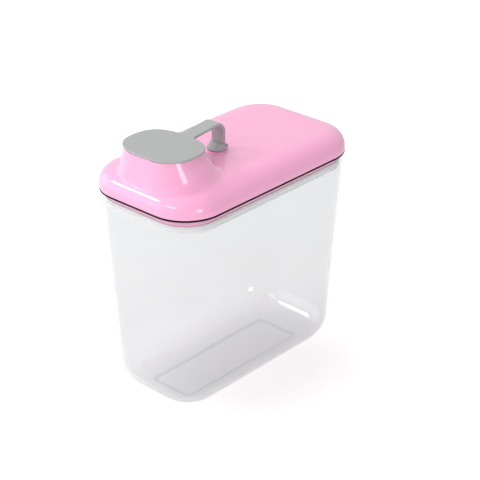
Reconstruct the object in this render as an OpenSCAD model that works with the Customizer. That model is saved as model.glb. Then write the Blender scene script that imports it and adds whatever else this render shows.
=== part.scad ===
// Cereal container with a flip spout: a clear tapered tub, a domed lid that lifts off,
// and a one-piece cap whose strap flips about a foot plugged into the lid.
// Millimetres, +Z up. The origin is the centre of the footprint, on the surface it stands on.
// The spout is at the -X end.

/* [Container] */
// Length across the rim
rim_length = 223.4; // [190:0.2:260]
// Width across the rim
rim_width = 123.8; // [105:0.2:150]
// Height of the rim above the surface that it stands on
rim_height = 196; // [150:1:240]
// Corner radius of the rim, seen from above
corner_radius = 35; // [30:0.5:42]
// How far each end wall leans in from rim to base
end_draft = 8.6; // [4:0.2:12]
// How far each long wall leans in from rim to base
side_draft = 10; // [4:0.2:12]
// Radius of the curve between the walls and the base
base_curve = 28; // [16:0.5:28]
// Thickness of the walls
tub_wall = 2; // [1.4:0.1:2.6]
// Thickness of the base
tub_floor = 4; // [2.5:0.1:6]
// Depth of the recess under the base
foot_recess = 0.8; // [0.4:0.1:1.5]
// Width of the ring round the recess that the tub stands on
foot_ring = 6; // [4:0.5:8]

/* [Lid] */
// How far the lid stands out past the rim
lid_overhang = 1.2; // [0.4:0.1:2]
// Height of the lid's flat top above its lower edge
lid_rise = 18.4; // [14:0.2:24]
// Thickness of the lid's skin
lid_wall = 2; // [1.4:0.1:2.4]
// Width of the round shoulder between the lid's side and its top
shoulder = 22.4; // [16:0.2:26]
// How square the shoulder is: 2 is an ellipse, more is fuller
shoulder_fullness = 2.5; // [2:0.1:3]
// Depth of the plug skirt below the lid's lower edge
plug_depth = 12.2; // [9:0.2:18]
// Thickness of the plug skirt
plug_wall = 2; // [1.4:0.1:2.6]

/* [Spout] */
// Length of the spout's mouth along the container, outside
spout_length = 53; // [46:0.5:60]
// Width of the spout's mouth across the container, outside
spout_width = 67; // [56:0.5:74]
// Corner radius of the mouth
spout_corner = 23; // [18:0.5:26]
// Gap between the front of the mouth and the lid's front edge
spout_setback = 10.4; // [9:0.2:16]
// Height of the mouth above the lid's lower edge
spout_rise = 41; // [34:0.2:46]
// How far the spout's flanks spread out in front of the mouth on their way down
front_spread = 7.2; // [5:0.2:8]
// How far the flanks spread out at each side
side_spread = 12.5; // [8:0.5:16]
// How far they spread out behind the mouth
back_spread = 14; // [10:0.5:24]
// Size of the round blend between the flanks and the lid's top
flank_blend = 8; // [4:0.5:12]

/* [Cap] */
// How far the cap's plate stands out past the mouth
cap_overlap = 2; // [1:0.1:3.5]
// Thickness of the plate
cap_thickness = 2.4; // [1.8:0.1:3.2]
// Depth that the cap's lip reaches into the mouth
lip_depth = 3.5; // [2:0.1:5]
// Thickness of the strap
strap_thickness = 2.6; // [2:0.1:3.4]
// Width of the strap where it leaves the plate
strap_root_width = 15.5; // [12:0.5:20]
// Width of the strap's leg
leg_width = 14.5; // [10:0.5:15]
// Distance from the back of the plate to the middle of the leg
strap_reach = 38.7; // [34:0.1:44]
// Radius of the strap's bend, to the middle of its thickness
bend_radius = 9.5; // [7:0.5:13]
// Angle at which the strap climbs from the plate
strap_climb = 5; // [2:0.5:10]
// Diameter of the foot
foot_diameter = 18; // [17:0.5:22]
// Height of the foot's dome
foot_height = 7.2; // [6:0.1:9]
// Radius of the round heel on the strap's leg, which turns in the foot
heel_radius = 2.3; // [1.8:0.1:2.6]
// Diameter of the foot's stem
stem_diameter = 6; // [4.5:0.1:8]

/* [Seals] */
// Thickness of the dark gasket between the lid and the rim
gasket_thickness = 1.2; // [0.8:0.1:2]
// Height of the gasket's rib in the groove under the lid's edge
gasket_rib = 3; // [1.5:0.1:4]
// Height of the pale seal round the bottom of the plug skirt
seal_height = 6.5; // [5:0.1:9]
// Thickness of the pale seal's legs
seal_wall = 1; // [0.7:0.1:1.4]
// Gap left between the seal's lips and the tub
seal_gap = 0.3; // [0.2:0.05:0.6]

/* [Fits] */
// Gap between the gasket and the rim that it lies on
rest_gap = 0.05; // [0.02:0.01:0.1]
// Gap round a piece that is pushed onto or into another
push_gap = 0.1; // [0.05:0.05:0.2]
// Gap under the cap when it is shut
cap_gap = 0.4; // [0.3:0.05:0.6]
// Radial gap between the heel and its seat
heel_gap = 0.08; // [0.03:0.01:0.1]

/* [Hidden] */

// Points round each quarter corner, along each long side and along each end
corner_steps = 10;
side_steps = 14;
end_steps = 8;
// Angle between rows round a curve
curve_step = 15;
// Size of the small chamfers on edges
edge = 0.5;
// Smallest corner radius that an outline is let down to
least_radius = 3;

lid_level = rim_height + gasket_thickness;
lid_length = rim_length + 2 * lid_overhang;
lid_width = rim_width + 2 * lid_overhang;
lid_corner = corner_radius + lid_overhang;
spout_x = -lid_length / 2 + spout_setback + spout_length / 2;
mouth_level = lid_level + spout_rise;

// Insets from the lid's outline: the skirt clears the tub's wall, lean included, by the seal
lean_at_plug = max(end_draft, side_draft) * (gasket_thickness + plug_depth + seal_wall) / rim_height;
seal_face = lid_overhang + tub_wall + lean_at_plug + seal_gap;
seal_lip = 0.6;
skirt_face = seal_face + seal_lip + seal_wall + push_gap;
skirt_back = skirt_face + plug_wall;

plate_base = mouth_level + cap_gap;
plate_top = plate_base + cap_thickness;
plate_back = spout_x + spout_length / 2 + cap_overlap;
leg_x = plate_back + strap_reach;

// The foot stands on a low round pad on the lid's flat top
pad_rise = 0.6;
pad_level = lid_level + lid_rise + pad_rise;
pad_radius = foot_diameter / 2 + 0.8;
heel_height = foot_height - 0.1;
heel_level = pad_level + heel_height;
stem_gap = push_gap;

// ---------------------------------------------------------------- shapes

// A rectangle with round corners, as points counted the same way at every size,
// anticlockwise from the +X end, so that outlines can be joined point to point.
// The points along the long sides lie at even angles about the middle of the spout.
function outline(length, width, radius, middle = 0) = [
    for (quarter = [0:3])
        let (x_sign = quarter == 0 || quarter == 3 ? 1 : -1,
             y_sign = quarter < 2 ? 1 : -1,
             centre = [middle + x_sign * (length / 2 - radius), y_sign * (width / 2 - radius)],
             first = centre.x + radius * cos(90 * quarter + 90),
             last = 2 * middle - first,
             first_angle = atan2(width / 2, first - spout_x),
             last_angle = atan2(width / 2, last - spout_x))
        each concat(
            [for (i = [0:corner_steps])
                centre + radius * [cos(90 * (quarter + i / corner_steps)),
                                   sin(90 * (quarter + i / corner_steps))]],
            quarter % 2 == 0
                ? [for (i = [1:side_steps - 1])
                    let (angle = first_angle + (last_angle - first_angle) * i / side_steps)
                    [spout_x + width / 2 / tan(angle), y_sign * width / 2]]
                : [for (i = [1:end_steps - 1])
                    [centre.x - radius * (quarter == 1 ? 1 : -1),
                     y_sign * (width / 2 - radius) * (1 - 2 * i / end_steps)]])
];

function sum(values) = [for (i = 0, total = values[0]; i < len(values);
                         i = i + 1, total = total + (i < len(values) ? values[i] : 0))
    total][len(values) - 1];

function flat_row(points, z) = [for (p = points) [p.x, p.y, z]];

// Distance from a round-cornered rectangle at the origin, negative inside it
function edge_distance(p, length, width, radius) =
    let (over = [abs(p.x) - (length / 2 - radius), abs(p.y) - (width / 2 - radius)])
    norm([max(over.x, 0), max(over.y, 0)]) + min(max(over.x, over.y), 0) - radius;

// Joins rows of points into one solid. The rows run up the outside. A loop closes on itself,
// and otherwise the first and last rows are filled.
module loft(rows, loop = false) {
    count = len(rows[0]);
    spans = loop ? len(rows) : len(rows) - 1;
    first_middle = len(rows) * count;
    last_row = (len(rows) - 1) * count;
    function at(row, i) = (row % len(rows)) * count + i % count;
    function middle(row) = [for (axis = [0:2]) sum([for (p = row) p[axis]]) / count];
    sides = [
        for (row = [0:spans - 1], i = [0:count - 1])
            each [[at(row, i), at(row + 1, i), at(row + 1, i + 1)],
                  [at(row, i), at(row + 1, i + 1), at(row, i + 1)]]
    ];
    ends = loop ? [] : [
        for (i = [0:count - 1])
            each [[first_middle, i, (i + 1) % count],
                  [first_middle + 1, last_row + (i + 1) % count, last_row + i]]
    ];
    points = [for (row = rows) each row];
    polyhedron(loop ? points : concat(points, [middle(rows[0]), middle(rows[len(rows) - 1])]),
               concat(sides, ends));
}

// A flat plate with round corners and true arcs
module round_plate(length, width, radius, height) {
    linear_extrude(height) {
        square([length - 2 * radius, width], center = true);
        square([length, width - 2 * radius], center = true);
        for (x = [-1, 1], y = [-1, 1])
            translate([x * (length / 2 - radius), y * (width / 2 - radius)])
                circle(radius, $fn = 96);
    }
}

// A ring that follows the lid's outline, between two insets and two levels
module outline_ring(outer, inner, low, high) {
    translate([0, 0, low])
        difference() {
            round_plate(lid_length - 2 * outer, lid_width - 2 * outer,
                        lid_corner - outer, high - low);
            translate([0, 0, -1])
                round_plate(lid_length - 2 * inner, lid_width - 2 * inner,
                            lid_corner - inner, high - low + 2);
        }
}

// ---------------------------------------------------------------- tub

// The tub's outline at a height, moved in by an inset
function tub_row(z, inset) =
    let (lean = 1 - z / rim_height)
    flat_row(outline(rim_length - 2 * (end_draft * lean + inset),
                     rim_width - 2 * (side_draft * lean + inset),
                     max(corner_radius - inset, least_radius)), z);

// Rows of the curve between wall and base, upwards, on a face that lies an inset in from
// the outside, over a floor of a thickness
function base_rows(inset, floor_level) =
    let (radius = base_curve - inset)
    [for (a = [0:curve_step:90])
        tub_row(floor_level + radius * (1 - cos(a)), inset + radius * (1 - sin(a)))];

function reversed(rows) = [for (i = [len(rows) - 1:-1:0]) rows[i]];

module tub() {
    color([0.86, 0.90, 0.92, 0.35])
        loft(concat(
            [tub_row(foot_recess, base_curve + foot_ring + foot_recess),
             tub_row(0, base_curve + foot_ring)],
            base_rows(0, 0),
            [tub_row(rim_height - edge, 0),
             tub_row(rim_height, edge),
             tub_row(rim_height, tub_wall - edge),
             tub_row(rim_height - 2 * edge, tub_wall)],
            reversed(base_rows(tub_wall, tub_floor))));
}

// ---------------------------------------------------------------- lid

// Outline in which the spout's flanks meet the lid's top
flank_foot_length = spout_length + front_spread + back_spread;
flank_foot_width = spout_width + 2 * side_spread;
flank_foot_corner = min(spout_corner + side_spread, flank_foot_length / 2 - 1);
flank_foot_x = spout_x + (back_spread - front_spread) / 2;
// Share of the skin's thickness by which that outline is smaller on the inside
foot_shrink = 0.55;

function mouth_distance(p, shrink) =
    edge_distance(p - [spout_x, 0], spout_length - 2 * shrink, spout_width - 2 * shrink,
                  spout_corner - shrink);
function flank_foot_distance(p, shrink) =
    edge_distance(p - [flank_foot_x, 0], flank_foot_length - 2 * shrink * foot_shrink,
                  flank_foot_width - 2 * shrink * foot_shrink,
                  flank_foot_corner - shrink * foot_shrink);

// Height of the lid's skin above its lower edge. shrink is 0 on the outside of the skin
// and its thickness on the inside. The flanks fall evenly between the two outlines.
function skin_height(p, shrink) =
    let (inset = -edge_distance(p, lid_length - 2 * shrink, lid_width - 2 * shrink,
                                lid_corner - shrink),
         past_mouth = max(mouth_distance(p, shrink), 0),
         fallen = past_mouth / max(past_mouth - flank_foot_distance(p, shrink), edge),
         top = lid_rise - shrink,
         flank = spout_rise - (spout_rise - top) * fallen,
         near = max(flank_blend - abs(top - flank), 0),
         roof = max(top, flank) + near * near / flank_blend / 4,
         fall = 1 - min(max(inset, 0) / (shoulder - shrink), 1))
    min(roof, spout_rise) * pow(1 - pow(fall, shoulder_fullness), 1 / shoulder_fullness);

// The lid's outline and the mouth's outline, moved in and out
function lid_points(inset) =
    outline(lid_length - 2 * inset, lid_width - 2 * inset, lid_corner - inset);
function mouth_points(out) =
    outline(spout_length + 2 * out, spout_width + 2 * out, spout_corner + out, spout_x);
function skin_row(points, shrink) =
    [for (p = points) [p.x, p.y, lid_level + skin_height(p, shrink)]];

// Room between mouth and edge at each point: the shoulder's rows keep to a share of it
room = [for (p = lid_points(0)) mouth_distance(p, 0)];
shoulder_share = 0.45;
function shoulder_points(part, start, shrink) = [
    for (i = [0:len(room) - 1])
        let (end = start + min(shoulder - start, shoulder_share * (room[i] + shrink - start)))
        lid_points(start + (end - start) * part)[i]
];

// Distance from the middle of the spout to an outline, along a direction
function mouth_reach(d, shrink, r = 0, tries = 12) =
    tries == 0 ? r : mouth_reach(d, shrink,
        r - mouth_distance([spout_x, 0] + d * r, shrink), tries - 1);
function flank_foot_reach(d, shrink, r = 0, tries = 12) =
    tries == 0 ? r : flank_foot_reach(d, shrink,
        r - flank_foot_distance([spout_x, 0] + d * r, shrink), tries - 1);

// Rows between the shoulder and the mouth, on lines from the shoulder's last row to the
// middle of the spout. Each level is a share of the way out from the mouth: up to 1 on the
// flank, then the steps of the blend beyond it.
flank_share = 0.6;
blend_reach = 7;
function flank_row(last_shoulder, level, shrink) = [
    for (p = last_shoulder)
        let (away = p - [spout_x, 0],
             d = away / norm(away),
             mouth = mouth_reach(d, shrink),
             space = norm(away) - mouth,
             flank = min(flank_foot_reach(d, shrink) - mouth, flank_share * space),
             beyond = min(blend_reach, 0.67 * (space - flank)))
        [spout_x, 0] + d * (mouth + flank * min(level, 1) + beyond * max(level - 1, 0))
];

// Shares of the shoulder's width for its rows, even along its curve
shoulder_parts = [for (a = [9:9:90]) 1 - pow(cos(a), 2 / shoulder_fullness)];
flank_levels = [2, 1.5, 1, 0.86, 0.72, 0.57, 0.42, 0.26, 0.12, 0];

module lid_skin() {
    outside_end = shoulder_points(1, 0, 0);
    inside_end = shoulder_points(1, skirt_back, lid_wall);
    mouth = flank_row(outside_end, 0, 0);
    mouth_inside = flank_row(inside_end, 0, lid_wall);
    function mouth_ring(shrink, z) = flat_row(flank_row(outside_end, 0, shrink), z);
    loft(loop = true, rows = concat(
        [flat_row(lid_points(edge), lid_level),
         flat_row(lid_points(0), lid_level + edge)],
        [for (part = shoulder_parts) skin_row(shoulder_points(part, 0, 0), 0)],
        [for (level = flank_levels) skin_row(flank_row(outside_end, level, 0), 0)],
        [mouth_ring(edge, mouth_level),
         mouth_ring(lid_wall - edge, mouth_level),
         mouth_ring(lid_wall, mouth_level - edge)],
        [for (level = reversed(flank_levels))
            skin_row(flank_row(inside_end, level, lid_wall), lid_wall)],
        [for (part = [1, 0.6, 0.3, 0])
            skin_row(shoulder_points(part, skirt_back, lid_wall), lid_wall)],
        [flat_row(lid_points(skirt_back), lid_level - plug_depth),
         flat_row(lid_points(skirt_face), lid_level - plug_depth),
         skin_row(lid_points(skirt_face), lid_wall),
         skin_row(lid_points((skirt_face + lid_wall) / 2), lid_wall),
         skin_row(lid_points(lid_wall + edge), lid_wall),
         flat_row(lid_points(lid_wall), lid_level)]));
}

module lid() {
    pad_depth = lid_wall + pad_rise;
    color([0.96, 0.66, 0.80])
        difference() {
            union() {
                lid_skin();
                translate([leg_x, 0, pad_level - pad_depth])
                    cylinder(r = pad_radius, h = pad_depth, $fn = 96);
            }
            translate([leg_x, 0, pad_level - pad_depth - 1])
                cylinder(d = stem_diameter + 2 * stem_gap, h = pad_depth + 2, $fn = 96);
        }
}

// ---------------------------------------------------------------- seals

// Dark gasket that lies on the rim, with a rib that fills the groove under the lid's edge
module rim_gasket() {
    low = rim_height + rest_gap;
    color([0.07, 0.05, 0.09])
        union() {
            outline_ring(lid_overhang + 0.2, skirt_face - push_gap, low, lid_level);
            outline_ring(lid_wall + edge + push_gap, skirt_face - push_gap,
                         low, lid_level + gasket_rib);
        }
}

// Pale seal with a U section, pushed onto the bottom of the plug skirt, with two lips
module plug_seal() {
    low = lid_level - plug_depth - push_gap - seal_wall;
    high = low + seal_height;
    inner_face = skirt_back + push_gap;
    outer_face = seal_face + seal_lip;
    color([0.93, 0.90, 0.91, 0.8])
        union() {
            outline_ring(outer_face, outer_face + seal_wall, low, high);
            outline_ring(outer_face, inner_face + seal_wall, low, low + seal_wall);
            outline_ring(inner_face, inner_face + seal_wall, low, high - seal_height / 4);
            for (lip = [0.25, 0.7])
                outline_ring(seal_face, outer_face + seal_wall / 2,
                             low + lip * seal_height, low + lip * seal_height + 0.8);
        }
}

// ---------------------------------------------------------------- cap and foot

// Middle line of the strap in the X-Z plane, from inside the plate to the heel
strap_start = [plate_back - 5, plate_base + cap_thickness / 2];
bend_x = leg_x - bend_radius;
bend_start_x = bend_x - bend_radius * sin(strap_climb);
bend_z = strap_start.y + (bend_start_x - plate_back) * tan(strap_climb)
       - bend_radius * cos(strap_climb);
strap_path = concat(
    [strap_start],
    [for (d = [-1.2, 0.4, 2, 4, 6.5]) [plate_back + d, strap_start.y + max(d, 0) * tan(strap_climb)]],
    [for (i = [0:8])
        let (a = (90 + strap_climb) * (1 - i / 8))
        [bend_x + bend_radius * cos(a), bend_z + bend_radius * sin(a)]],
    [[leg_x, (bend_z + heel_level) / 2], [leg_x, heel_level]]);

function path_turn(i) =
    let (a = strap_path[max(i - 1, 0)], b = strap_path[min(i + 1, len(strap_path) - 1)])
    atan2(b.y - a.y, b.x - a.x);

// The strap flares into the plate and narrows a little towards the leg
root_flare = 6;
function strap_width(i) =
    let (along = min(max((strap_path[i].x - plate_back) / strap_reach, 0), 1),
         flare = max(1 - (strap_path[i].x - plate_back + 1.2) / 7.7, 0))
    strap_root_width + (leg_width - strap_root_width) * along
        + root_flare * min(flare, 1) * min(flare, 1);

// Section of the strap with its edges chamfered, across the path
function strap_row(i) =
    let (across = [-sin(path_turn(i)), cos(path_turn(i))],
         half_w = strap_width(i) / 2,
         half_t = (i == 0 ? cap_thickness - 2 * push_gap : strap_thickness) / 2)
    [for (c = [[1, -1, 0], [1, -1, 1], [1, 1, 1], [1, 1, 0], [-1, 1, 0], [-1, 1, 1],
               [-1, -1, 1], [-1, -1, 0]])
        let (w = c.x * (half_w - (c.z == 0 ? edge : 0)),
             t = c.y * (half_t - (c.z == 0 ? 0 : edge)))
        [strap_path[i].x + across.x * t, w, strap_path[i].y + across.y * t]];

// Distances in from the mouth's inside wall that let the lip swing out about the heel
lip_top_gap = 0.5;
lip_foot_gap = lip_top_gap + lip_depth * 0.32;
lip_wall = 1.6;

function cap_row(z, out) = flat_row(mouth_points(out), z);

module spout_cap() {
    color([0.67, 0.70, 0.69])
        union() {
            loft([
                cap_row(plate_base, -lid_wall - lip_foot_gap - lip_wall),
                cap_row(mouth_level - lip_depth, -lid_wall - lip_foot_gap - lip_wall),
                cap_row(mouth_level - lip_depth, -lid_wall - lip_foot_gap),
                cap_row(plate_base, -lid_wall - lip_top_gap),
                cap_row(plate_base, cap_overlap - edge),
                cap_row(plate_base + edge, cap_overlap),
                cap_row(plate_top - edge, cap_overlap),
                cap_row(plate_top - edge / 3, cap_overlap - edge / 3),
                cap_row(plate_top, cap_overlap - edge)]);
            loft([for (i = [0:len(strap_path) - 1]) strap_row(i)]);
            translate([leg_x, 0, heel_level])
                rotate([90, 0, 0])
                    cylinder(r = heel_radius, h = leg_width, center = true, $fn = 96);
        }
}

// Domed foot that holds the strap's heel, with a stem that is pushed through the lid
module strap_foot() {
    foot_radius = foot_diameter / 2;
    brim = 1.4;
    cradle_radius = heel_radius + heel_gap + 1.4;
    lip_reach = 4.6;
    lip_thickness = 1.6;
    lip_level = heel_height - 2.8;
    notch_level = 2.4;
    head_radius = stem_diameter / 2 + 1.6;
    head_height = 2;
    stem_length = lid_wall + pad_rise + push_gap;
    dome = [for (a = [0:10:90])
        [(foot_radius - edge) * cos(a), brim + (foot_height - brim) * sin(a)]];
    module behind(from, to, level) {
        translate([from, -foot_radius, level])
            cube([to - from, foot_diameter, foot_height]);
    }
    color([0.47, 0.49, 0.50])
        translate([leg_x, 0, pad_level]) {
            difference() {
                union() {
                    rotate_extrude($fn = 96)
                        polygon(concat([[0, 0], [foot_radius, 0], [foot_radius, brim - edge]],
                                       dome));
                    translate([0, 0, heel_height])
                        rotate([90, 0, 0])
                            cylinder(r = cradle_radius, h = leg_width, center = true, $fn = 96);
                }
                // seat of the heel, and the cradle's open top
                translate([0, 0, heel_height])
                    rotate([90, 0, 0])
                        cylinder(r = heel_radius + heel_gap, h = foot_diameter, center = true,
                                 $fn = 96);
                behind(-foot_radius, foot_radius, heel_height);
                // room behind the leg, with a notch in front of the back lip
                behind(heel_radius * 0.5, foot_radius, lip_level);
                behind(heel_radius * 0.5, lip_reach, notch_level);
                behind(lip_reach + lip_thickness, foot_radius, notch_level);
            }
            // stem and its barbed head
            translate([0, 0, -stem_length])
                cylinder(d = stem_diameter, h = stem_length, $fn = 96);
            translate([0, 0, -stem_length - head_height])
                cylinder(r1 = stem_diameter / 2 - 0.4, r2 = head_radius, h = head_height, $fn = 96);
        }
}

tub();
rim_gasket();
lid();
plug_seal();
spout_cap();
strap_foot();
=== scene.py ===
import math

import bmesh
import bpy
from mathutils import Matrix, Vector


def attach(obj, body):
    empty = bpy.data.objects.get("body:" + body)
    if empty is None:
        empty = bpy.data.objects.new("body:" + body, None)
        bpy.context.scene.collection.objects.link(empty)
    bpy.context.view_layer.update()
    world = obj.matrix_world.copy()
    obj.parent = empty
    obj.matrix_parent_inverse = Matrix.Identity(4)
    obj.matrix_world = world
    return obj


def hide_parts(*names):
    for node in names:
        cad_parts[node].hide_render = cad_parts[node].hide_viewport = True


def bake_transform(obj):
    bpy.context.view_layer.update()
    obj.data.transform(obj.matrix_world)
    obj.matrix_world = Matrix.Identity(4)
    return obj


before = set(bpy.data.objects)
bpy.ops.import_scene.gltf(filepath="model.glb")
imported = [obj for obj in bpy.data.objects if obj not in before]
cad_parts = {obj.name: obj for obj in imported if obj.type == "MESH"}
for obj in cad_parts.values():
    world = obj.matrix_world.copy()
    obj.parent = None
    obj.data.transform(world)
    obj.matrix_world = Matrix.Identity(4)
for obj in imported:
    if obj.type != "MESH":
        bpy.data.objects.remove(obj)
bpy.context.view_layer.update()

# ---------------------------------------------------------------------------
# Studio: a pale floor that runs out to white, a white room, four lamps that
# gleam in the plastic, three that only fill, and the camera, which looks down
# on the spout's corner of the container.
# ---------------------------------------------------------------------------
scene = bpy.context.scene
scene.view_settings.view_transform = "Standard"
floor_radius, floor_drop = 6, 0.0004
glow_start, glow_end = 0.9, 3.2
glow_near, glow_far = 0.34, 0.8
clear_start, clear_end = 1.0, 1.6
floor_in_gloss = 0.3
floor_paint = (0.86, 0.86, 0.86, 1)
room_light, room_seen = 0.35, 1.0
room_in_gloss, room_in_clear = 0.69, 1.0


def deselect():
    if bpy.context.object and bpy.context.object.mode != "OBJECT":
        bpy.ops.object.mode_set(mode="OBJECT")
    bpy.ops.object.select_all(action="DESELECT")


def seen_directly(nodes, links, in_gloss, in_clear):
    """1 where the background itself shows, and its share in gloss and through clear plastic."""
    path = nodes.new("ShaderNodeLightPath")
    total = path.outputs["Is Camera Ray"]
    for name, share in (("Is Glossy Ray", in_gloss), ("Is Transmission Ray", in_clear)):
        part = nodes.new("ShaderNodeMath")
        part.operation = "MULTIPLY"
        if isinstance(share, float):
            part.inputs[1].default_value = share
        else:
            links.new(share, part.inputs[1])
        links.new(path.outputs[name], part.inputs[0])
        either = nodes.new("ShaderNodeMath")
        either.operation = "MAXIMUM"
        links.new(total, either.inputs[0])
        links.new(part.outputs[0], either.inputs[1])
        total = either.outputs[0]
    return total


deselect()
bpy.ops.mesh.primitive_circle_add(vertices=96, radius=floor_radius, fill_type="NGON",
                                  location=(0, 0, -floor_drop))
floor = bpy.context.object
floor.name = "floor"
floor_finish = bpy.data.materials.new("pale floor")
floor_finish.use_nodes = True
nodes, links = floor_finish.node_tree.nodes, floor_finish.node_tree.links
nodes.clear()
paint = nodes.new("ShaderNodeBsdfDiffuse")
paint.inputs["Color"].default_value = floor_paint
glow = nodes.new("ShaderNodeEmission")
glow.inputs["Color"].default_value = (1, 1, 1, 1)
place = nodes.new("ShaderNodeTexCoord")
away = nodes.new("ShaderNodeVectorMath")
away.operation = "LENGTH"
links.new(place.outputs["Object"], away.inputs[0])
fade = nodes.new("ShaderNodeMapRange")
for socket, value in (("From Min", glow_start), ("From Max", glow_end),
                      ("To Min", glow_near), ("To Max", glow_far)):
    fade.inputs[socket].default_value = value
links.new(away.outputs["Value"], fade.inputs["Value"])
# through the clear walls the floor glows only where it lies too far off to be lit
far = nodes.new("ShaderNodeMapRange")
far.inputs["From Min"].default_value = clear_start
far.inputs["From Max"].default_value = clear_end
links.new(away.outputs["Value"], far.inputs["Value"])
lift = nodes.new("ShaderNodeMath")
lift.operation = "MULTIPLY"
links.new(fade.outputs[0], lift.inputs[0])
links.new(seen_directly(nodes, links, floor_in_gloss, far.outputs[0]), lift.inputs[1])
links.new(lift.outputs[0], glow.inputs["Strength"])
both = nodes.new("ShaderNodeAddShader")
links.new(paint.outputs[0], both.inputs[0])
links.new(glow.outputs[0], both.inputs[1])
links.new(both.outputs[0], nodes.new("ShaderNodeOutputMaterial").inputs["Surface"])
floor.data.materials.append(floor_finish)

world = bpy.data.worlds.new("white room")
scene.world = world
world.use_nodes = True
nodes, links = world.node_tree.nodes, world.node_tree.links
nodes.clear()
sky = nodes.new("ShaderNodeBackground")
sky.inputs["Color"].default_value = (1, 1, 1, 1)
level = nodes.new("ShaderNodeMix")
level.data_type = "FLOAT"
level.inputs[2].default_value = room_light
level.inputs[3].default_value = room_seen
links.new(seen_directly(nodes, links, room_in_gloss, room_in_clear), level.inputs[0])
links.new(level.outputs[0], sky.inputs["Strength"])
links.new(sky.outputs[0], nodes.new("ShaderNodeOutputWorld").inputs["Surface"])


def softbox(name, place, aim, size, watts, gleams=True):
    """A soft lamp, seen in the gloss where it gleams and never through clear plastic."""
    lamp = bpy.data.lights.new(name, "AREA")
    lamp.shape = "RECTANGLE"
    lamp.size, lamp.size_y = size
    lamp.energy = watts
    holder = bpy.data.objects.new(name, lamp)
    scene.collection.objects.link(holder)
    holder.location = place
    holder.rotation_euler = (Vector(aim) - Vector(place)).to_track_quat("-Z", "Y").to_euler()
    holder.visible_glossy = gleams
    holder.visible_transmission = False


lid_middle, tub_middle = (-0.1, 0, 0.2), (0, 0, 0.15)
softbox("wide_window", (-1.0, 1.57, 0.50), lid_middle, (2.4, 1.0), 9)
softbox("streak_window", (-0.92, 1.20, 1.22), lid_middle, (0.42, 0.18), 6)
softbox("left_lamp", (-1.70, 0.06, 1.25), lid_middle, (0.85, 0.13), 5.5)
softbox("front_lamp", (-0.43, -1.69, 0.54), lid_middle, (0.46, 0.4), 4)
softbox("low_fill", (-2.0, -0.27, 0.30), lid_middle, (1.6, 0.5), 5, gleams=False)
softbox("side_fill", (-1.0, -1.75, 0.7), lid_middle, (1.7, 1.2), 8, gleams=False)
softbox("top_lamp", (-0.1, 0.6, 1.85), tub_middle, (1.4, 1.4), 20, gleams=False)

lens = bpy.data.cameras.new("camera")
lens.sensor_width = 36
lens.lens = 118.87
camera = bpy.data.objects.new("camera", lens)
scene.collection.objects.link(camera)
camera.location = (-0.9298, -0.8629, 0.7735)
looking = Vector((0.6585, 0.5985, -0.4563))
camera.rotation_euler = looking.to_track_quat("-Z", "Y").to_euler()
scene.camera = camera

# ---------------------------------------------------------------------------
# Tub: one injection moulding of clear plastic, with round corners, walls that
# lean in towards the base, a large round base edge and a thick floor.
# ---------------------------------------------------------------------------
rim_length, rim_width, rim_height = 0.2234, 0.1238, 0.196
corner_radius = 0.035
end_draft, side_draft = 0.0086, 0.010
base_curve = 0.028
tub_wall, tub_floor = 0.002, 0.004
rim_round = 0.0008
ring_width, recess_depth = 0.006, 0.0008
corner_steps, base_steps, rim_steps = 28, 18, 4
level_slack, flat_face, recess_zone, down_zone = 1e-5, 0.999, 1e-4, 0.00005
same_place, tub_smooth_angle = 1e-6, math.radians(40)


def pick(piece, kind, wanted):
    """Selects only the vertices, edges or faces of the piece in edit mode that are wanted."""
    bpy.ops.mesh.select_mode(type=kind)
    bpy.ops.mesh.select_all(action="DESELECT")
    mesh = bmesh.from_edit_mesh(piece.data)
    for part in {"VERT": mesh.verts, "EDGE": mesh.edges, "FACE": mesh.faces}[kind]:
        if wanted(part):
            part.select_set(True)
    mesh.select_flush_mode()
    bmesh.update_edit_mesh(piece.data)


def at_level(vertex, z):
    return abs(vertex.co.z - z) < level_slack


def edge_level(edge, z):
    return all(at_level(v, z) for v in edge.verts)


def lean_in(piece, z, x_move, y_move):
    """Moves the four round corners of the outline at a height in towards the middle."""
    for x_side in (1, -1):
        for y_side in (1, -1):
            pick(piece, "VERT", lambda v: at_level(v, z)
                 and v.co.x * x_side > 0 and v.co.y * y_side > 0)
            bpy.ops.transform.translate(value=(-x_side * x_move, -y_side * y_move, 0))


deselect()
bpy.ops.mesh.primitive_cube_add(size=1, location=(0, 0, rim_height / 2),
                                scale=(rim_length, rim_width, rim_height))
tub = bpy.context.object
tub.name = "clear_tub"
bpy.ops.object.transform_apply(location=True, rotation=True, scale=True)
bpy.ops.object.mode_set(mode="EDIT")
pick(tub, "EDGE", lambda e: abs(e.verts[0].co.z - e.verts[1].co.z) > rim_height / 2)
bpy.ops.mesh.bevel(offset=corner_radius, segments=corner_steps, affect="EDGES")
lean_in(tub, 0, end_draft, side_draft)
pick(tub, "FACE", lambda f: f.normal.z > flat_face)
bpy.ops.mesh.inset(thickness=tub_wall)
bpy.ops.mesh.extrude_region_move(
    TRANSFORM_OT_translate={"value": (0, 0, tub_floor - rim_height)})
inner = 1 - tub_floor / rim_height
lean_in(tub, tub_floor, end_draft * inner, side_draft * inner)
pick(tub, "EDGE", lambda e: edge_level(e, 0))
bpy.ops.mesh.bevel(offset=base_curve, segments=base_steps, affect="EDGES")
pick(tub, "EDGE", lambda e: edge_level(e, tub_floor))
bpy.ops.mesh.bevel(offset=base_curve - tub_wall, segments=base_steps, affect="EDGES")
pick(tub, "EDGE", lambda e: edge_level(e, rim_height))
bpy.ops.mesh.bevel(offset=rim_round, segments=rim_steps, affect="EDGES")
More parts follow.
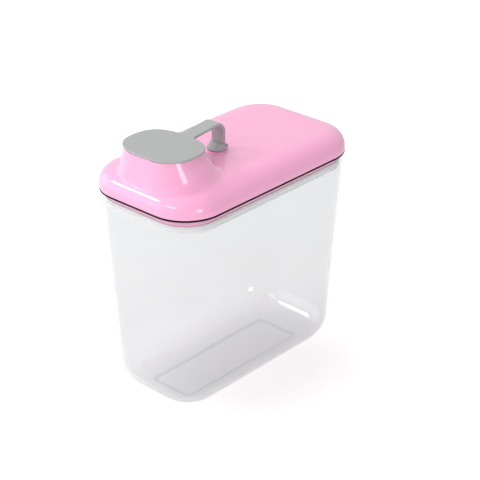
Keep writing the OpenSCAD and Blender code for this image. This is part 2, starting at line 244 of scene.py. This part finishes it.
# the base, with the first row of its curve, gets a standing ring and a recess inside it
pick(tub, "FACE", lambda f: f.normal.z < -flat_face
     and f.calc_center_median().z < recess_zone)
bpy.ops.mesh.inset(thickness=ring_width)
bpy.ops.mesh.extrude_region_move(TRANSFORM_OT_translate={"value": (0, 0, recess_depth)})
bpy.ops.mesh.select_all(action="SELECT")
bpy.ops.mesh.remove_doubles(threshold=same_place)
bpy.ops.mesh.normals_make_consistent(inside=False)
# what is nearly down on the floor is set flat on it
pick(tub, "VERT", lambda v: v.co.z < down_zone)
bpy.ops.transform.resize(value=(1, 1, 0), center_override=(0, 0, 0))
bpy.ops.object.mode_set(mode="OBJECT")
bpy.ops.object.shade_smooth_by_angle(angle=tub_smooth_angle)


def make_moulded_skin():
    """The faint unevenness of moulded plastic and rubber: tone, gloss and a fine grain."""
    skin = bpy.data.node_groups.new("moulded_skin", "ShaderNodeTree")
    wanted = (("Colour", "Color", (0.5, 0.5, 0.5, 1)), ("Tone Change", "Float", 0.03),
              ("Roughness", "Float", 0.3), ("Roughness Change", "Float", 0.05),
              ("Cloud Size", "Float", 20.0), ("Grain Size", "Float", 600.0),
              ("Grain Depth", "Float", 0.00002))
    for name, kind, value in wanted:
        socket = skin.interface.new_socket(name, in_out="INPUT",
                                           socket_type="NodeSocket" + kind)
        socket.default_value = value
    for name, kind in (("Colour", "Color"), ("Roughness", "Float"), ("Normal", "Vector")):
        skin.interface.new_socket(name, in_out="OUTPUT", socket_type="NodeSocket" + kind)
    nodes, links = skin.nodes, skin.links
    given, made = nodes.new("NodeGroupInput"), nodes.new("NodeGroupOutput")
    place = nodes.new("ShaderNodeTexCoord")

    def cloud(size, detail):
        texture = nodes.new("ShaderNodeTexNoise")
        texture.inputs["Detail"].default_value = detail
        links.new(place.outputs["Object"], texture.inputs["Vector"])
        links.new(given.outputs[size], texture.inputs["Scale"])
        return texture.outputs["Fac"]

    def around(middle, value, change):
        """middle + (value - 0.5) * 2 * change"""
        centred = nodes.new("ShaderNodeMath")
        centred.operation = "MULTIPLY_ADD"
        links.new(value, centred.inputs[0])
        centred.inputs[1].default_value = 2
        centred.inputs[2].default_value = -1
        moved = nodes.new("ShaderNodeMath")
        moved.operation = "MULTIPLY_ADD"
        links.new(centred.outputs[0], moved.inputs[0])
        links.new(given.outputs[change], moved.inputs[1])
        if isinstance(middle, str):
            links.new(given.outputs[middle], moved.inputs[2])
        else:
            moved.inputs[2].default_value = middle
        return moved.outputs[0]

    broad, fine = cloud("Cloud Size", 3), cloud("Grain Size", 2)
    tone = nodes.new("ShaderNodeHueSaturation")
    links.new(given.outputs["Colour"], tone.inputs["Color"])
    links.new(around(1.0, broad, "Tone Change"), tone.inputs["Value"])
    links.new(tone.outputs[0], made.inputs["Colour"])
    links.new(around("Roughness", broad, "Roughness Change"), made.inputs["Roughness"])
    grain = nodes.new("ShaderNodeBump")
    grain.inputs["Strength"].default_value = 1.0
    links.new(given.outputs["Grain Depth"], grain.inputs["Distance"])
    links.new(fine, grain.inputs["Height"])
    links.new(grain.outputs[0], made.inputs["Normal"])
    return skin


moulded_skin = make_moulded_skin()


def moulded_material(name, skin_values, finish):
    """A material whose tone, roughness and grain come from the moulded skin, and the rest
    of its finish from the values given."""
    material = bpy.data.materials.new(name)
    material.use_nodes = True
    nodes, links = material.node_tree.nodes, material.node_tree.links
    shader = nodes["Principled BSDF"]
    skin = nodes.new("ShaderNodeGroup")
    skin.node_tree = moulded_skin
    for socket, value in skin_values.items():
        skin.inputs[socket].default_value = value
    for socket, value in finish.items():
        shader.inputs[socket].default_value = value
    links.new(skin.outputs["Colour"], shader.inputs["Base Color"])
    links.new(skin.outputs["Roughness"], shader.inputs["Roughness"])
    links.new(skin.outputs["Normal"], shader.inputs["Normal"])
    return material


# the two faces of a thin wall bend light back and forth, so it goes nearly straight on,
# and the gloss comes from the coat
clear_plastic = moulded_material("clear plastic", {
    "Colour": (0.895, 0.902, 0.906, 1), "Tone Change": 0.01, "Roughness": 0.03,
    "Roughness Change": 0.015, "Cloud Size": 14, "Grain Size": 40, "Grain Depth": 0.00002},
    {"Transmission Weight": 1.0, "IOR": 1.02, "Coat Weight": 1.0, "Coat Roughness": 0.03})
nodes, links = clear_plastic.node_tree.nodes, clear_plastic.node_tree.links
through = nodes.new("ShaderNodeBsdfTransparent")
through.inputs["Color"].default_value = (0.957, 0.960, 0.962, 1)
path = nodes.new("ShaderNodeLightPath")
# lamps shine through the walls, and a ray thrown back by one wall passes the next
surface = nodes["Principled BSDF"].outputs[0]
for kind in ("Is Reflection Ray", "Is Shadow Ray"):
    mixed = nodes.new("ShaderNodeMixShader")
    links.new(path.outputs[kind], mixed.inputs[0])
    links.new(surface, mixed.inputs[1])
    links.new(through.outputs[0], mixed.inputs[2])
    surface = mixed.outputs[0]
links.new(surface, nodes["Material Output"].inputs["Surface"])
tub.data.materials.append(clear_plastic)
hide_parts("tub")
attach(tub, "container")

# ---------------------------------------------------------------------------
# Lid: one glossy pink moulding. A round shoulder runs round a flat top, and
# the flanks of the spout rise from it to an open mouth. A plug skirt hangs
# inside the tub.
# ---------------------------------------------------------------------------
lid_overhang, gasket_thickness = 0.0012, 0.0012
lid_length, lid_width = rim_length + 2 * lid_overhang, rim_width + 2 * lid_overhang
lid_corner = corner_radius + lid_overhang
lid_level = rim_height + gasket_thickness
lid_rise, lid_wall = 0.0184, 0.002
shoulder, fullness = 0.0224, 2.5
spout_length, spout_width, spout_corner = 0.053, 0.067, 0.023
spout_setback = 0.0104
spout_x = -lid_length / 2 + spout_setback + spout_length / 2
spout_rise = 0.041
front_spread, side_spread, back_spread = 0.0032, 0.0112, 0.014
flank_blend = 0.008
plug_depth = 0.0132
skirt_face, skirt_back = 0.00593, 0.00793
lid_round, skirt_round = 0.0004, 0.0004
flank_length = spout_length + front_spread + back_spread
flank_width = spout_width + 2 * side_spread
flank_x = spout_x + (back_spread - front_spread) / 2
# shares of the room beside the spout that the shoulder, the flank and its blend may take
shoulder_share, flank_share, blend_share = 0.45, 0.6, 0.67
blend_reach, least_run, least_straight = 0.007, 0.0005, 0.001
flank_corner = min(spout_corner + side_spread, flank_length / 2 - least_straight)
# share of the wall's thickness by which the foot of the flank moves in on the inside
inner_foot_share = 0.55
smooth_angle = math.radians(38)


def outline(length, width, radius, middle=0.0, corner=24, side=56, end=24):
    """A rectangle with round corners, anticlockwise from the +X end."""
    points = []
    for quarter in range(4):
        x_sign = 1 if quarter in (0, 3) else -1
        y_sign = 1 if quarter < 2 else -1
        cx = middle + x_sign * (length / 2 - radius)
        cy = y_sign * (width / 2 - radius)
        for i in range(corner + 1):
            a = math.pi / 2 * (quarter + i / corner)
            points.append((cx + radius * math.cos(a), cy + radius * math.sin(a)))
        if quarter % 2 == 0:
            first = math.atan2(width / 2, cx - spout_x)
            last = math.atan2(width / 2, 2 * middle - cx - spout_x)
            for i in range(1, side):
                a = first + (last - first) * i / side
                points.append((spout_x + width / 2 / math.tan(a), y_sign * width / 2))
        else:
            for i in range(1, end):
                points.append((cx - radius * (1 if quarter == 1 else -1),
                               y_sign * (width / 2 - radius) * (1 - 2 * i / end)))
    return points


def edge_distance(x, y, length, width, radius):
    """How far a point lies outside a rectangle with round corners, and below 0 inside it."""
    over_x = abs(x) - (length / 2 - radius)
    over_y = abs(y) - (width / 2 - radius)
    return (math.hypot(max(over_x, 0), max(over_y, 0))
            + min(max(over_x, over_y), 0) - radius)


def mouth_distance(x, y, shrink):
    """How far a point lies outside the mouth, for a skin that lies deeper by shrink."""
    return edge_distance(x - spout_x, y, spout_length - 2 * shrink,
                         spout_width - 2 * shrink, spout_corner - shrink)


def flank_foot_distance(x, y, shrink):
    """The same for the line round the spout where its flanks come down to the flat top."""
    less = inner_foot_share * shrink
    return edge_distance(x - flank_x, y, flank_length - 2 * less,
                         flank_width - 2 * less, flank_corner - less)


def skin_height(x, y, shrink):
    """How high above its lower edge the lid's skin lies, or a skin deeper by shrink."""
    inset = -edge_distance(x, y, lid_length - 2 * shrink, lid_width - 2 * shrink,
                           lid_corner - shrink)
    past = max(mouth_distance(x, y, shrink), 0)
    fallen = past / max(past - flank_foot_distance(x, y, shrink), least_run)
    top = lid_rise - shrink
    flank = spout_rise - (spout_rise - top) * fallen
    near = max(flank_blend - abs(top - flank), 0)
    roof = max(top, flank) + near * near / flank_blend / 4
    fall = 1 - min(max(inset, 0) / (shoulder - shrink), 1)
    return min(roof, spout_rise) * (1 - fall ** fullness) ** (1 / fullness)


def lid_points(inset):
    return outline(lid_length - 2 * inset, lid_width - 2 * inset, lid_corner - inset)


def at_height(points, z):
    return [(x, y, z) for x, y in points]


def on_skin(points, shrink=0.0):
    return [(x, y, lid_level + skin_height(x, y, shrink)) for x, y in points]


room_beside_spout = [mouth_distance(x, y, 0) for x, y in lid_points(0)]


def shoulder_points(part, start=0.0, shrink=0.0):
    """The lid's outline moved in by a share of the shoulder, less beside the spout."""
    points = []
    rows = {}
    for i, space in enumerate(room_beside_spout):
        end = start + min(shoulder - start, shoulder_share * (space + shrink - start))
        inset = round(start + (end - start) * part, 7)
        if inset not in rows:
            rows[inset] = lid_points(inset)
        points.append(rows[inset][i])
    return points


reach_steps = 24


def reach(distance, direction, shrink):
    """How far an outline lies from the middle of the spout in a direction, in small steps
    that each go as far as is safe."""
    r = 0.0
    for _ in range(reach_steps):
        r -= distance(spout_x + direction[0] * r, direction[1] * r, shrink)
    return r


def flank_points(ends, level):
    """Points on lines from the shoulder's last row to the spout: 0 at the mouth, 1 at the
    foot of the flank and 2 past its blend into the top."""
    points = []
    for end, mouth, foot in ends:
        away = math.hypot(end[0] - spout_x, end[1])
        d = ((end[0] - spout_x) / away, end[1] / away)
        flank = min(foot - mouth, flank_share * (away - mouth))
        beyond = min(blend_reach, blend_share * (away - mouth - flank))
        r = mouth + flank * min(level, 1) + beyond * max(level - 1, 0)
        points.append((spout_x + d[0] * r, d[1] * r))
    return points


def flank_ends(points, shrink):
    """Each point of the shoulder's last row, and how far out the mouth and the flank's foot
    lie in its direction."""
    ends = []
    for x, y in points:
        away = math.hypot(x - spout_x, y)
        d = ((x - spout_x) / away, y / away)
        ends.append(((x, y), reach(mouth_distance, d, shrink),
                     reach(flank_foot_distance, d, shrink)))
    return ends


def start_row(name, points):
    """Starts a piece from a circle whose points are moved to the first row's places."""
    deselect()
    bpy.ops.mesh.primitive_circle_add(vertices=len(points), radius=0.05)
    piece = bpy.context.object
    piece.name = name
    bpy.ops.object.mode_set(mode="EDIT")
    bpy.ops.mesh.select_mode(type="VERT")
    bpy.ops.mesh.select_all(action="SELECT")
    mesh = bmesh.from_edit_mesh(piece.data)
    mesh.verts.ensure_lookup_table()
    for vertex, point in zip(mesh.verts, points):
        vertex.co = point
    bmesh.update_edit_mesh(piece.data)
    return piece, list(range(len(points)))


unmoved = 1e-9


def next_row(piece, row, points):
    """Extrudes the row and moves the new one to its places."""
    bpy.ops.mesh.extrude_edges_move()
    mesh = bmesh.from_edit_mesh(piece.data)
    mesh.verts.ensure_lookup_table()
    mesh.verts.index_update()
    made = []
    for index, point in zip(row, points):
        old = mesh.verts[index]
        for edge in old.link_edges:
            new = edge.other_vert(old)
            if new.select and (new.co - old.co).length < unmoved:
                made.append((new, point))
                break
    for new, point in made:
        new.co = point
    bmesh.update_edit_mesh(piece.data)
    return [new.index for new, _ in made]


def loft(name, rows, closed=False):
    """A skin through rows of points, closed on itself or filled at both ends."""
    piece, row = start_row(name, rows[0])
    first = row
    for points in rows[1:]:
        row = next_row(piece, row, points)
    if closed:
        both_ends = set(first) | set(row)
        pick(piece, "EDGE", lambda e: e.is_boundary
             and all(v.index in both_ends for v in e.verts))
        bpy.ops.mesh.bridge_edge_loops()
    else:
        for end in (first, row):
            ends = set(end)
            pick(piece, "EDGE", lambda e: all(v.index in ends for v in e.verts))
            bpy.ops.mesh.edge_face_add()
    bpy.ops.mesh.select_all(action="SELECT")
    bpy.ops.mesh.normals_make_consistent(inside=False)
    bpy.ops.object.mode_set(mode="OBJECT")
    bpy.ops.object.shade_smooth_by_angle(angle=smooth_angle)
    return piece


shoulder_steps, flank_steps = 20, 18
shoulder_parts = [1 - math.cos(math.pi / 2 * (i / shoulder_steps)) ** (2 / fullness)
                  for i in range(1, shoulder_steps + 1)]
levels = [2, 1.8, 1.6, 1.45, 1.3, 1.2, 1.1]
levels += [1 - i / flank_steps for i in range(flank_steps + 1)]
shoulder_end = shoulder_points(1)
outside = flank_ends(shoulder_end, 0)
inside = flank_ends(shoulder_points(1, skirt_back, lid_wall), lid_wall)
inner_shoulder_parts = (0.98, 0.75, 0.5, 0.25, 0)
groove_insets = (skirt_face, 0.0045, 0.0034, lid_wall + 0.0005)

edge_turns = (0, math.pi / 6, math.pi / 3, math.pi / 2)
lower_edge = [at_height(lid_points(lid_wall - lid_round * (1 - math.cos(a))),
                        lid_level + lid_round * (1 - math.sin(a))) for a in edge_turns]
lower_edge += [at_height(lid_points(lid_round * (1 - math.sin(a))),
                         lid_level + lid_round * (1 - math.cos(a))) for a in edge_turns]
mouth_turns = [math.pi / 2 * i / 5 for i in range(6)]
mouth_edge = [(lid_round * (1 - math.cos(a)), spout_rise - lid_round * (1 - math.sin(a)))
              for a in mouth_turns]
mouth_edge += [(lid_wall - lid_round * (1 - math.sin(a)),
                spout_rise - lid_round * (1 - math.cos(a))) for a in mouth_turns]
skirt_end = lid_level - plug_depth
skirt_edge = [(skirt_back, skirt_end + skirt_round), (skirt_back - skirt_round, skirt_end),
              (skirt_face + skirt_round, skirt_end), (skirt_face, skirt_end + skirt_round)]
# up the outside to the mouth, down the inside to the skirt, round it and out to the edge
lid = loft("lid_shell", (
    lower_edge
    + [on_skin(shoulder_points(part)) for part in shoulder_parts]
    + [on_skin(flank_points(outside, level)) for level in levels[:-1]]
    + [at_height(flank_points(flank_ends(shoulder_end, shrink), 0), lid_level + rise)
       for shrink, rise in mouth_edge]
    + [on_skin(flank_points(inside, level), lid_wall) for level in reversed(levels[::2])]
    + [on_skin(shoulder_points(part, skirt_back, lid_wall), lid_wall)
       for part in inner_shoulder_parts]
    + [at_height(lid_points(inset), z) for inset, z in skirt_edge]
    + [on_skin(lid_points(inset), lid_wall) for inset in groove_insets]), closed=True)

round_count = 96


def circle(radius, z, middle):
    turns = (2 * math.pi * i / round_count for i in range(round_count))
    return [(middle[0] + radius * math.cos(a), middle[1] + radius * math.sin(a), z)
            for a in turns]


def take_up(piece):
    """Makes the piece the only one that is selected, and the active one."""
    deselect()
    bpy.context.view_layer.objects.active = piece
    piece.select_set(True)


def combine(piece, other, operation):
    """Joins another solid to the piece, or cuts it away, and removes the other."""
    take_up(piece)
    change = piece.modifiers.new(operation.lower(), "BOOLEAN")
    change.operation = operation
    change.object = other
    change.solver = "EXACT"
    bpy.ops.object.modifier_apply(modifier=change.name)
    bpy.data.objects.remove(other)
    bpy.ops.object.shade_smooth_by_angle(angle=smooth_angle)


foot_place, pad_place = (-0.0088, 0), (-0.0103, 0)
hole_radius, hole_below, hole_above = 0.0031, 0.006, 0.003
pad_rise = 0.0006
top_level = lid_level + lid_rise
pad_level = top_level + pad_rise
pad = loft("pad", [circle(r, z, pad_place) for r, z in (
    (0.0099, top_level - 0.0008), (0.0099, top_level), (0.0096, top_level + 0.0002),
    (0.0094, top_level + 0.0004), (0.0092, pad_level - 0.00005))])
combine(lid, pad, "UNION")
stem_hole = loft("stem_hole", [circle(hole_radius, z, foot_place)
                               for z in (top_level - hole_below, top_level + hole_above)])
combine(lid, stem_hole, "DIFFERENCE")

pink_plastic = moulded_material("pink plastic", {
    "Colour": (0.93, 0.405, 0.63, 1), "Tone Change": 0.015, "Roughness": 0.3,
    "Roughness Change": 0.03, "Cloud Size": 30, "Grain Size": 90, "Grain Depth": 0.00003},
    {"IOR": 1.5, "Specular IOR Level": 0.35, "Coat Weight": 0.8, "Coat Roughness": 0.05})
lid.data.materials.append(pink_plastic)
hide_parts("lid")
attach(lid, "lid")

# ---------------------------------------------------------------------------
# Rim gasket: a black rubber ring, held by its tongue in the groove between the
# lid's edge and the plug skirt. Its outer lip, which closes over the rim, is
# the thin dark line between the lid and the tub; its near-black colour is partly
# painted shade, standing in for the shadow that falls in that joint.
# ---------------------------------------------------------------------------
# the ring's section: how far in from the lid's outline, and how high
gasket_rows = [(0.0011, 0.1953), (0.0004, 0.19532), (0.0002, 0.19542), (0.0001, 0.1956),
               (0.0001, 0.19692), (0.00018, 0.19706), (0.0004, 0.19712),
               (0.0024, lid_level + 0.00015), (0.0026, lid_level + 0.0003), (0.0026, 0.1998),
               (0.0028, 0.2001), (0.0032, 0.2002), (0.0052, 0.2002), (0.0056, 0.2001),
               (0.0058, 0.1998), (0.0058, 0.1962), (0.0057, 0.19606), (0.0019, 0.19606),
               (0.0015, 0.19600), (0.00124, 0.19575), (0.00112, 0.19545)]
gasket = loft("rim_gasket_and_shade_line", [at_height(lid_points(inset), z) for inset, z in gasket_rows],
              closed=True)
# near-black rubber: partly the ring's own colour, partly painted shade for the joint's shadow
black_rubber_and_joint_shade = moulded_material("black rubber and painted joint shade", {
    "Colour": (0.006, 0.005, 0.010, 1), "Tone Change": 0.2, "Roughness": 0.6,
    "Roughness Change": 0.08, "Cloud Size": 120, "Grain Size": 1500, "Grain Depth": 0.00003},
    {"Specular IOR Level": 0.15})
gasket.data.materials.append(black_rubber_and_joint_shade)
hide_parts("rim_gasket")
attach(gasket, "lid")

# ---------------------------------------------------------------------------
# Plug seal: a pale silicone channel pushed up over the end of the plug skirt.
# Its two thin lips press against the inside of the tub.
# ---------------------------------------------------------------------------
seal_low, seal_high, seal_floor = 0.1824, 0.1891, 0.001
# how far in from the lid's outline its faces, the tips of its lips and its groove lie
seal_front, seal_back, lip_tip = 0.004835, 0.00903, 0.004235
groove_front, groove_back = 0.005835, 0.00803
lip_shares = (0.25, 0.7)
seal_rows = [(groove_back, seal_high - 0.0001), (0.0082, seal_high), (0.0088, seal_high),
             (seal_back, seal_high - 0.0002), (seal_back, seal_low + 0.0006),
             (0.0088, seal_low + 0.0002), (0.0084, seal_low), (0.00545, seal_low),
             (0.00503, seal_low + 0.0002), (seal_front, seal_low + 0.0006)]
for share in lip_shares:
    z = seal_low + share * (seal_high - seal_low)
    seal_rows += [(seal_front, z - 0.0005), (0.0046, z - 0.0004), (0.00430, z - 0.0001),
                  (lip_tip, z + 0.0001), (0.00430, z + 0.0003), (0.0046, z + 0.0004),
                  (seal_front, z + 0.00055)]
seal_rows += [(seal_front, seal_high - 0.0003), (0.005, seal_high), (0.0057, seal_high),
              (groove_front, seal_high - 0.0001), (groove_front, seal_low + seal_floor),
              (groove_back, seal_low + seal_floor)]
seal = loft("plug_seal_ring", [at_height(lid_points(inset), z) for inset, z in seal_rows],
            closed=True)
pale_rubber = moulded_material("pale rubber", {
    "Colour": (0.95, 0.935, 0.945, 1), "Tone Change": 0.01, "Roughness": 0.45,
    "Roughness Change": 0.06, "Cloud Size": 60, "Grain Size": 900, "Grain Depth": 0.00002},
    {"Subsurface Weight": 0.5, "Subsurface Radius": (0.003, 0.003, 0.003),
     "Subsurface Scale": 1.0})
seal.data.materials.append(pale_rubber)
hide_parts("plug_seal")
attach(seal, "lid")

# ---------------------------------------------------------------------------
# Flip cap: one soft grey rubber moulding. The plate plugs the mouth, a strap
# arches back from it, and its foot is held in the lid by a barbed stem.
# ---------------------------------------------------------------------------
plate_x, plate_reach, plate_half = -0.0751, 0.0280, 0.0360
plate_fullness, root_corner, strap_half = 2.57, 0.003, 0.0074
root_overlap, root_steps, plate_steps = 0.0004, 8, 100
# in degrees: how far the corner at the strap's root turns, and where the plate begins
root_turn, plate_from = 88, 21.5
plate_low, plate_high = 0.2383, 0.2406
plate_middle = (plate_low + plate_high) / 2
strap_slope, rise_start, rise_blend = math.radians(5), -0.0514, 0.006
strap_deeper, strap_low = 1.5, 0.2190
rise_cuts, rise_cut_gap, back_cuts, bend_cuts, leg_cuts = 15, 0.0006, 9, 20, 34
bend_radius, bend_x, bend_turn = 0.0087, -0.0167, math.radians(90) + strap_slope
bend_start = bend_x + bend_radius * math.cos(bend_turn)
bend_end = bend_start + bend_radius * bend_turn
bend_z = (plate_middle + math.tan(strap_slope) * (bend_start - rise_start - rise_blend)
          + math.tan(strap_slope) * rise_blend / 2 - bend_radius * math.sin(bend_turn))
strap_end = bend_end + bend_z - strap_low


def half_cap():
    """Half of the cap as it would lie flat, from the strap's end to the plate's front."""
    half = [(strap_end, strap_half)]
    corner_x = plate_x + plate_reach - root_overlap + root_corner
    corner_y = strap_half + root_corner
    for i in range(root_steps + 1):
        a = math.radians(270 - root_turn * i / root_steps)
        half.append((corner_x + root_corner * math.cos(a),
                     corner_y + root_corner * math.sin(a)))
    for i in range(plate_steps):
        a = math.radians(plate_from + (180 - plate_from) * (i + 1) / (plate_steps + 0.5))
        r = ((abs(math.cos(a)) / plate_reach) ** plate_fullness
             + (abs(math.sin(a)) / plate_half) ** plate_fullness) ** (-1 / plate_fullness)
        half.append((plate_x + r * math.cos(a), r * math.sin(a)))
    return half


flat_cap = half_cap()
flat_cap += [(x, -y) for x, y in reversed(flat_cap)]


def cap_outline(inset):
    """The flat cap's outline moved in square to its edge."""
    points = []
    for i, (x, y) in enumerate(flat_cap):
        before, after = flat_cap[i - 1], flat_cap[(i + 1) % len(flat_cap)]
        dx, dy = after[0] - before[0], after[1] - before[1]
        length = math.hypot(dx, dy)
        points.append((x - inset * dy / length, y + inset * dx / length))
    return points


# the cap's section: how far in from its outline, and how high
edge_rows = [(0.0016, plate_low), (0.0009, plate_low), (0.0005, plate_low + 0.00012),
             (0.0002, plate_low + 0.0004), (0.00005, plate_low + 0.0007),
             (0, plate_low + 0.0011), (0, plate_high - 0.0008), (0.00006, plate_high - 0.0005),
             (0.00022, plate_high - 0.00022), (0.0005, plate_high - 0.00006),
             (0.0008, plate_high), (0.0014, plate_high)]
cap = loft("flip_cap", [at_height(cap_outline(inset), z) for inset, z in edge_rows])
take_up(cap)
bpy.ops.object.mode_set(mode="EDIT")
# cut across wherever the flat cap is to bend, closest together in the bends
stations = [rise_start - 0.0001 + rise_cut_gap * i for i in range(rise_cuts)]
for start, end, steps in ((stations[-1], bend_start, back_cuts),
                          (bend_start, bend_end, bend_cuts),
                          (bend_end, strap_end, leg_cuts)):
    stations += [start + (end - start) * i / steps for i in range(1, steps + 1)]
for x in stations[:-1]:
    bpy.ops.mesh.select_all(action="SELECT")
    bpy.ops.mesh.bisect(plane_co=(x, 0, 0), plane_no=(1, 0, 0))
# then bend it: up from the plate, straight back, round the bend and down the leg
mesh = bmesh.from_edit_mesh(cap.data)
for vertex in mesh.verts:
    along, off = vertex.co.x, vertex.co.z - plate_middle
    t = min(max((along - rise_start) / rise_blend, 0), 1)
    if off < 0:
        off *= 1 + (strap_deeper - 1) * t
    if along <= bend_start:
        rise = rise_blend * t * t / 2 + max(along - rise_start - rise_blend, 0)
        tilt = math.atan(math.tan(strap_slope) * t)
        vertex.co.x = along - off * math.sin(tilt)
        vertex.co.z = plate_middle + math.tan(strap_slope) * rise + off * math.cos(tilt)
    elif along < bend_end:
        a = bend_turn - (along - bend_start) / bend_radius
        vertex.co.x = bend_x + (bend_radius + off) * math.cos(a)
        vertex.co.z = bend_z + (bend_radius + off) * math.sin(a)
    else:
        vertex.co.x = bend_x + bend_radius + off
        vertex.co.z = bend_z - (along - bend_end)
bmesh.update_edit_mesh(cap.data)
bpy.ops.object.mode_set(mode="OBJECT")

plug_rows = [(0.0026, plate_low + 0.0006), (0.0029, plate_low - 0.0012), (0.00350, 0.2352),
             (0.00365, 0.2349), (0.0040, 0.2347), (0.0048, 0.2347), (0.0051, 0.2349),
             (0.00522, 0.2352), (0.00522, plate_low + 0.0006)]
plug = loft("cap_plug", [at_height(outline(spout_length - 2 * inset, spout_width - 2 * inset,
                                           spout_corner - inset, spout_x), z)
                         for inset, z in plug_rows], closed=True)
combine(cap, plug, "UNION")


def oval(z, shift, front, back, half, power=2.0):
    """A rounded outline near the stem, fuller towards its corners as power grows."""
    points = []
    for i in range(round_count):
        a = 2 * math.pi * i / round_count
        c, s = math.cos(a), math.sin(a)
        x = math.copysign(abs(c) ** (2 / power), c) * (back if c > 0 else front)
        y = math.copysign(abs(s) ** (2 / power), s) * half
        points.append((foot_place[0] + shift + x, y, z))
    return points


def block(name, low, high):
    """A box between its lowest and highest corners, to cut with."""
    deselect()
    middle = [(a + b) / 2 for a, b in zip(low, high)]
    bpy.ops.mesh.primitive_cube_add(size=1, location=middle,
                                    scale=[b - a for a, b in zip(low, high)])
    bpy.ops.object.transform_apply(location=True, rotation=True, scale=True)
    bpy.context.object.name = name
    return bpy.context.object


# the barb and the stem, the round disc on the pad, and the block up to the leg
disc_shift = -0.0015
foot_rows = [oval(z, 0, r, r, r) for r, z in (
    (0.0021, 0.2115), (0.0024, 0.21155), (0.0027, 0.2118), (0.0044, 0.2131), (0.00458, 0.2133),
    (0.0044, 0.2135), (0.0030, 0.2135), (0.0030, pad_level))]
foot_rows += [oval(pad_level + z, disc_shift, r, r, r) for z, r in (
    (0, 0.0066), (0.0004, 0.0068), (0.0006, 0.0082), (0.00072, 0.0086), (0.0009, 0.00878),
    (0.0012, 0.00885), (0.0016, 0.00885), (0.0019, 0.00877), (0.0022, 0.0085))]
foot_rows += [oval(pad_level + z, *sizes) for z, *sizes in (
    (0.0024, disc_shift, 0.0081, 0.0081, 0.0083, 2.0),
    (0.0033, -0.0013, 0.0073, 0.0074, 0.0080, 2.1),
    (0.0042, -0.0009, 0.0064, 0.0068, 0.0078, 2.2),
    (0.0050, -0.0006, 0.0056, 0.0062, 0.0077, 2.4),
    (0.0056, -0.0003, 0.0048, 0.0056, 0.0076, 2.6),
    (0.0060, -0.0001, 0.0043, 0.0050, 0.0075, 2.8),
    (0.0063, 0.0001, 0.0036, 0.0044, 0.0073, 3.0),
    (0.0064, 0.0001, 0.0031, 0.0038, 0.0070, 3.0),
    (0.0064, 0.0001, 0.0027, 0.0034, 0.0066, 3.0))]
foot = loft("strap_foot_block", foot_rows)
leg_back = bend_x + bend_radius + (plate_high - plate_middle)
notch_gap, notch_rise, notch_reach = 0.0002, 0.0022, 0.02
combine(foot, block("above_notch", (leg_back - notch_gap, -notch_reach, pad_level + notch_rise),
                    (notch_reach, notch_reach, pad_level + notch_reach)), "DIFFERENCE")
tab_x, tab_length, tab_width, tab_corner = -0.0030, 0.0019, 0.0124, 0.0008
tab_rows = []
for inset, rise in ((0, 0.0012), (0, 0.0032), (0.00015, 0.0035), (0.0004, 0.0037),
                    (0.0006, 0.0037)):
    tab = outline(tab_length - 2 * inset, tab_width - 2 * inset, tab_corner - inset,
                  corner=6, side=2, end=2)
    tab_rows.append([(tab_x + x, y, pad_level + rise) for x, y in tab])
combine(foot, loft("foot_tab", tab_rows), "UNION")
combine(cap, foot, "UNION")

grey_rubber = moulded_material("grey rubber", {
    "Colour": (0.375, 0.39, 0.385, 1), "Tone Change": 0.03, "Roughness": 0.42,
    "Roughness Change": 0.06, "Cloud Size": 45, "Grain Size": 1200, "Grain Depth": 0.00004}, {})
cap.data.materials.append(grey_rubber)
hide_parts("spout_cap", "strap_foot")
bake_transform(cap)
